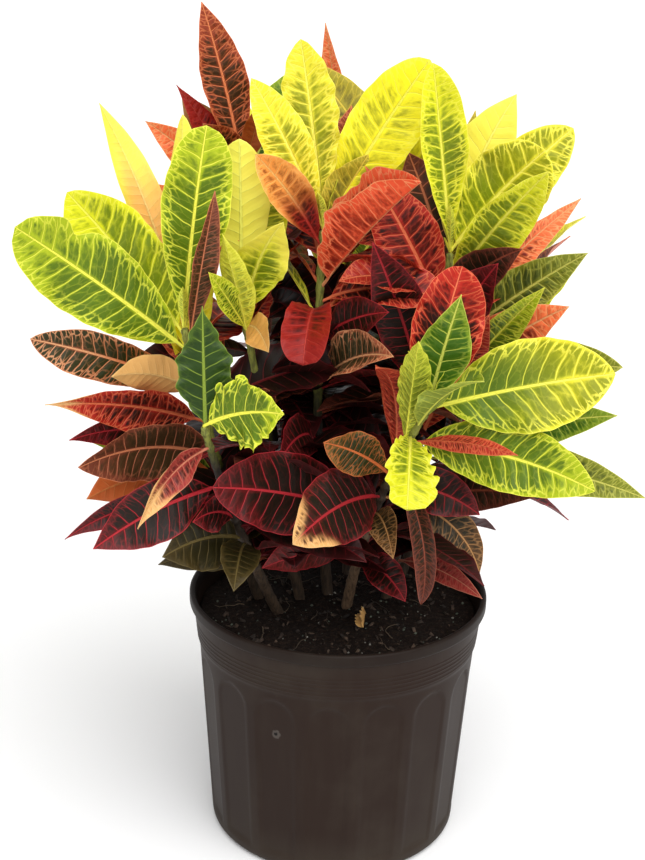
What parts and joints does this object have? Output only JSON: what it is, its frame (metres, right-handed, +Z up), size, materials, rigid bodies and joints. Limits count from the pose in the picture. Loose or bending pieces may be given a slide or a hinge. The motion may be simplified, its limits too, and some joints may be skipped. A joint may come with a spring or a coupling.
{
  "type": "potted croton",
  "caption": "Bushy croton with lime, gold, red and dark wine leaves with coloured veins, on upright woody stems in a round dark ribbed nursery pot",
  "frame": {"origin": "middle of the pot's underside, on the surface that it stands on", "axes": "+Z up through the plant, -Y towards the side that the picture shows, +X to its right"},
  "size_m": [0.5458, 0.4665, 0.7652],
  "materials": {
    "pot_plastic": "satin",
    "potting_mix": "matte",
    "dry_leaf": "matte",
    "young_leaf": "satin",
    "old_leaf": "satin"
  },
  "bodies": {
    "root": {"pot": "pot_plastic", "soil": "potting_mix", "dry_leaf": "dry_leaf", "stem_left_lower": "old_leaf", "stem_left_crown": "young_leaf", "stem_back_left_lower": "old_leaf", "stem_back_left_crown": "young_leaf", "stem_middle_lower": "old_leaf", "stem_middle_crown": "young_leaf", "stem_right_lower": "old_leaf", "stem_right_crown": "young_leaf", "stem_front_right_lower": "old_leaf", "stem_front_right_crown": "young_leaf", "stem_middle_left_lower": "old_leaf", "stem_middle_left_crown": "young_leaf", "stem_back_right_lower": "old_leaf", "stem_back_right_crown": "young_leaf", "stem_back_lower": "old_leaf", "stem_back_crown": "young_leaf", "stem_front_left_lower": "old_leaf", "stem_front_left_crown": "young_leaf"}
  },
  "joints": []
}
